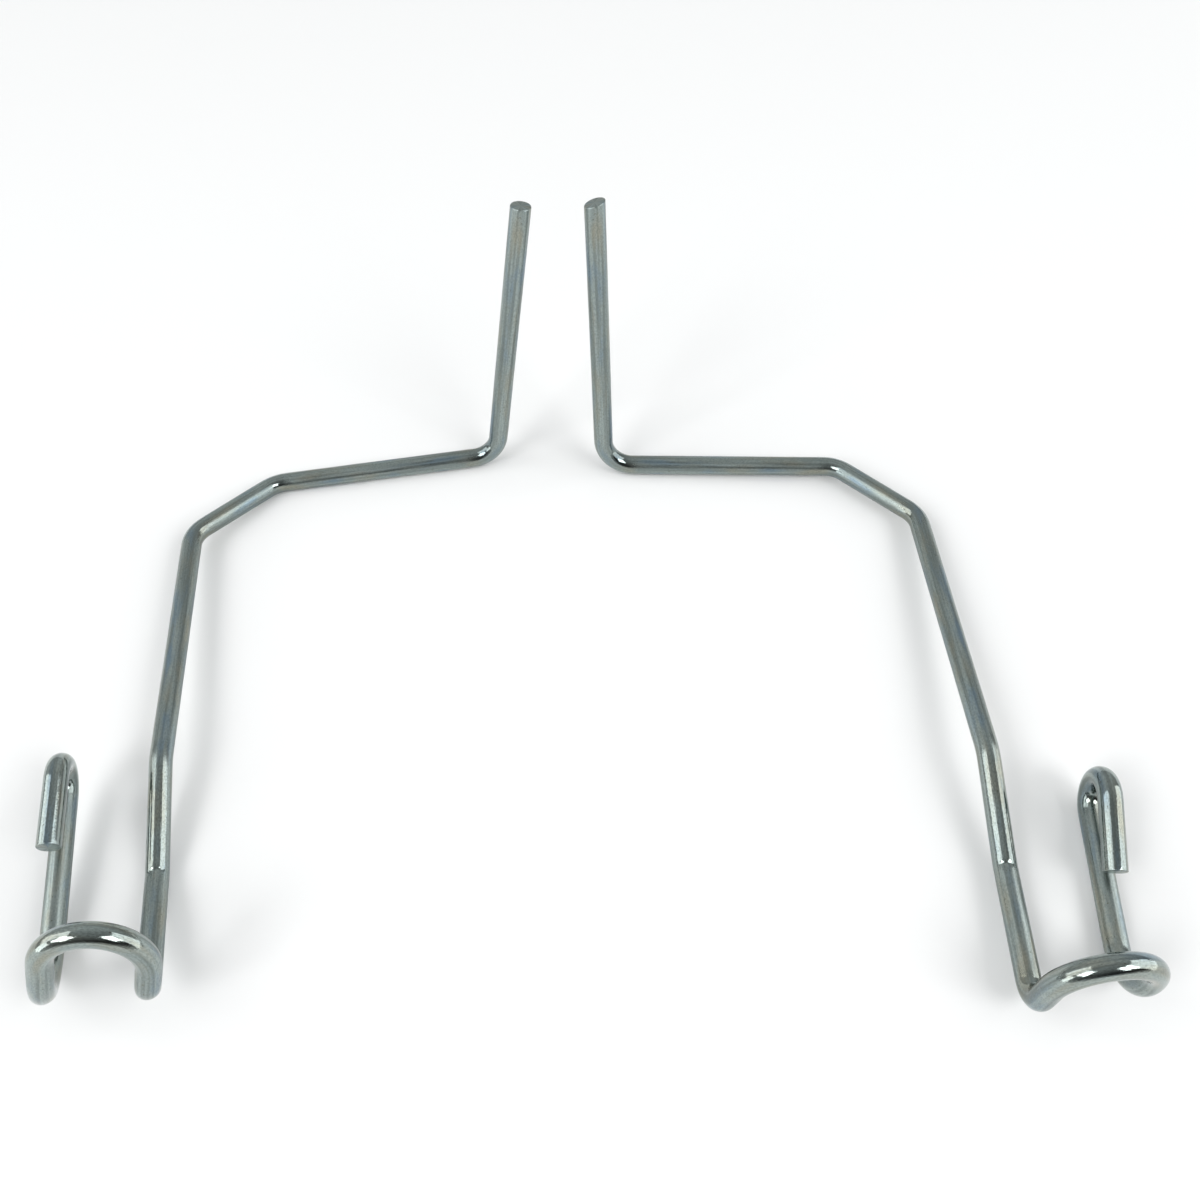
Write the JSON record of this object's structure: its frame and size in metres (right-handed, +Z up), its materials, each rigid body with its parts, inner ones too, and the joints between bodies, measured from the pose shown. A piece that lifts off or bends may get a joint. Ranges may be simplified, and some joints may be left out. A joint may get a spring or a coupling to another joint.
{
  "type": "spring compressor hook rods",
  "caption": "Pair of mirrored bent wire rods, each with an upright post, a cut corner, a joggled arm, an arched saddle and a curled end.",
  "frame": {"origin": "middle of the box around both rods, on the surface they lie on", "axes": "+X towards the right rod, +Y towards the posts, away from the saddles, +Z up along the posts"},
  "size_m": [0.3664, 0.2698, 0.1234],
  "materials": {
    "zinc_plated_steel": "bright zinc plate, smooth with fine drawing lines"
  },
  "bodies": {
    "left": {"left_rod": "zinc_plated_steel"},
    "right": {"right_rod": "zinc_plated_steel"}
  },
  "joints": [
    {"name": "right_rod_slide", "type": "slide", "parent": "left", "child": "right", "axis": [1, 0, 0], "range_m": [0, 0.1]}
  ]
}
